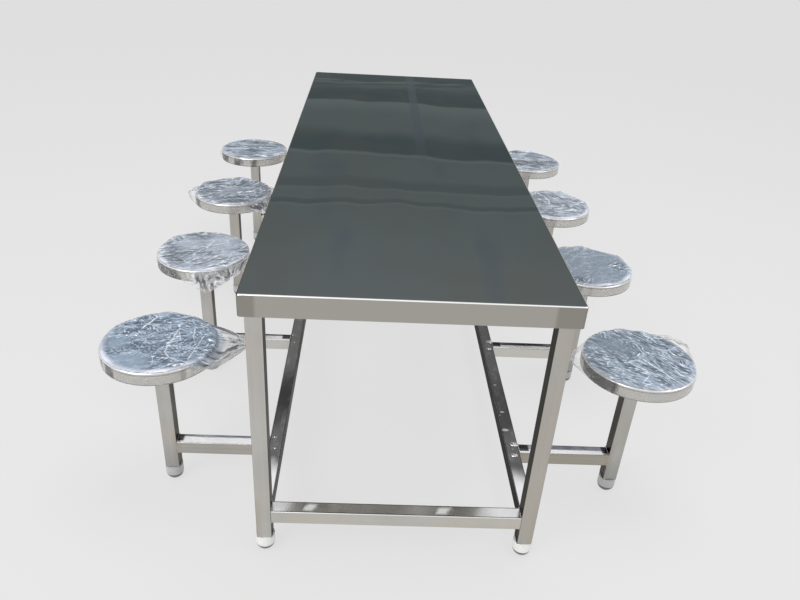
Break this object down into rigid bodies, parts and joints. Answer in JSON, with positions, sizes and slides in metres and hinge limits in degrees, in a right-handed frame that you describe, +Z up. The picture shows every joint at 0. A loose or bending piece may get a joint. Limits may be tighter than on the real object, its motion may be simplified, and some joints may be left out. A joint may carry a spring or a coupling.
{
  "type": "canteen table",
  "caption": "Long stainless canteen table on square-tube legs, with round stools fixed along both sides by arms from a low tube frame, and round nylon levelling feet.",
  "frame": {"origin": "on the floor under the middle of the top, at the bottom centre of the bounding box", "axes": "+Z up; +Y along the table from the front end, which is nearest in the picture, to the rear end; +X to the right when seen from the front end"},
  "size_m": [1.5255, 2.14, 0.75],
  "materials": {
    "top_steel": "polished stainless sheet with a soft grey-green sheen",
    "tube_steel": "satin stainless square tube with a fine lengthwise grain",
    "seat_steel": "polished pressed stainless pan",
    "plate_steel": "plain mill stainless",
    "clear_film": "thin clear polythene film, crumpled",
    "plywood": "raw plywood",
    "nylon_white": "moulded white nylon",
    "nylon_black": "moulded black nylon",
    "zinc_screw": "bright zinc plate"
  },
  "bodies": {
    "table": {"top_sheet": "top_steel", "top_board": "plywood", "leg_front_left": "tube_steel", "leg_front_right": "tube_steel", "leg_rear_left": "tube_steel", "leg_rear_right": "tube_steel", "top_rail_left": "tube_steel", "side_rail_left": "tube_steel", "top_rail_right": "tube_steel", "side_rail_right": "tube_steel", "top_rail_front": "tube_steel", "end_rail_front": "tube_steel", "top_rail_rear": "tube_steel", "end_rail_rear": "tube_steel", "top_bearer_front": "tube_steel", "top_bearer_middle": "tube_steel", "top_bearer_rear": "tube_steel", "stool_post_left_1": "tube_steel", "stool_arm_left_1": "tube_steel", "seat_pan_left_1": "seat_steel", "stool_post_left_2": "tube_steel", "stool_arm_left_2": "tube_steel", "seat_pan_left_2": "seat_steel", "stool_post_left_3": "tube_steel", "stool_arm_left_3": "tube_steel", "seat_pan_left_3": "seat_steel", "stool_post_left_4": "tube_steel", "stool_arm_left_4": "tube_steel", "seat_pan_left_4": "seat_steel", "stool_post_right_1": "tube_steel", "stool_arm_right_1": "tube_steel", "seat_pan_right_1": "seat_steel", "stool_post_right_2": "tube_steel", "stool_arm_right_2": "tube_steel", "seat_pan_right_2": "seat_steel", "stool_post_right_3": "tube_steel", "stool_arm_right_3": "tube_steel", "seat_pan_right_3": "seat_steel", "stool_post_right_4": "tube_steel", "stool_arm_right_4": "tube_steel", "seat_pan_right_4": "seat_steel", "seat_plates": "plate_steel", "seat_films": "clear_film", "foot_bushes": "nylon_black", "board_cleats": "plate_steel", "board_screws": "zinc_screw"},
    "foot_leg_front_left": {"foot_leg_front_left": "nylon_white"},
    "foot_leg_front_right": {"foot_leg_front_right": "nylon_white"},
    "foot_leg_rear_left": {"foot_leg_rear_left": "nylon_white"},
    "foot_leg_rear_right": {"foot_leg_rear_right": "nylon_white"},
    "foot_stool_left_1": {"foot_stool_left_1": "nylon_white"},
    "foot_stool_left_2": {"foot_stool_left_2": "nylon_white"},
    "foot_stool_left_3": {"foot_stool_left_3": "nylon_white"},
    "foot_stool_left_4": {"foot_stool_left_4": "nylon_white"},
    "foot_stool_right_1": {"foot_stool_right_1": "nylon_white"},
    "foot_stool_right_2": {"foot_stool_right_2": "nylon_white"},
    "foot_stool_right_3": {"foot_stool_right_3": "nylon_white"},
    "foot_stool_right_4": {"foot_stool_right_4": "nylon_white"}
  },
  "joints": [
    {"name": "adjust_foot_leg_front_left", "type": "slide", "parent": "table", "child": "foot_leg_front_left", "axis": [0, 0, -1], "range_m": [0, 0.02]},
    {"name": "adjust_foot_leg_front_right", "type": "slide", "parent": "table", "child": "foot_leg_front_right", "axis": [0, 0, -1], "range_m": [0, 0.02]},
    {"name": "adjust_foot_leg_rear_left", "type": "slide", "parent": "table", "child": "foot_leg_rear_left", "axis": [0, 0, -1], "range_m": [0, 0.02]},
    {"name": "adjust_foot_leg_rear_right", "type": "slide", "parent": "table", "child": "foot_leg_rear_right", "axis": [0, 0, -1], "range_m": [0, 0.02]},
    {"name": "adjust_foot_stool_left_1", "type": "slide", "parent": "table", "child": "foot_stool_left_1", "axis": [0, 0, -1], "range_m": [0, 0.02]},
    {"name": "adjust_foot_stool_left_2", "type": "slide", "parent": "table", "child": "foot_stool_left_2", "axis": [0, 0, -1], "range_m": [0, 0.02]},
    {"name": "adjust_foot_stool_left_3", "type": "slide", "parent": "table", "child": "foot_stool_left_3", "axis": [0, 0, -1], "range_m": [0, 0.02]},
    {"name": "adjust_foot_stool_left_4", "type": "slide", "parent": "table", "child": "foot_stool_left_4", "axis": [0, 0, -1], "range_m": [0, 0.02]},
    {"name": "adjust_foot_stool_right_1", "type": "slide", "parent": "table", "child": "foot_stool_right_1", "axis": [0, 0, -1], "range_m": [0, 0.02]},
    {"name": "adjust_foot_stool_right_2", "type": "slide", "parent": "table", "child": "foot_stool_right_2", "axis": [0, 0, -1], "range_m": [0, 0.02]},
    {"name": "adjust_foot_stool_right_3", "type": "slide", "parent": "table", "child": "foot_stool_right_3", "axis": [0, 0, -1], "range_m": [0, 0.02]},
    {"name": "adjust_foot_stool_right_4", "type": "slide", "parent": "table", "child": "foot_stool_right_4", "axis": [0, 0, -1], "range_m": [0, 0.02]}
  ]
}
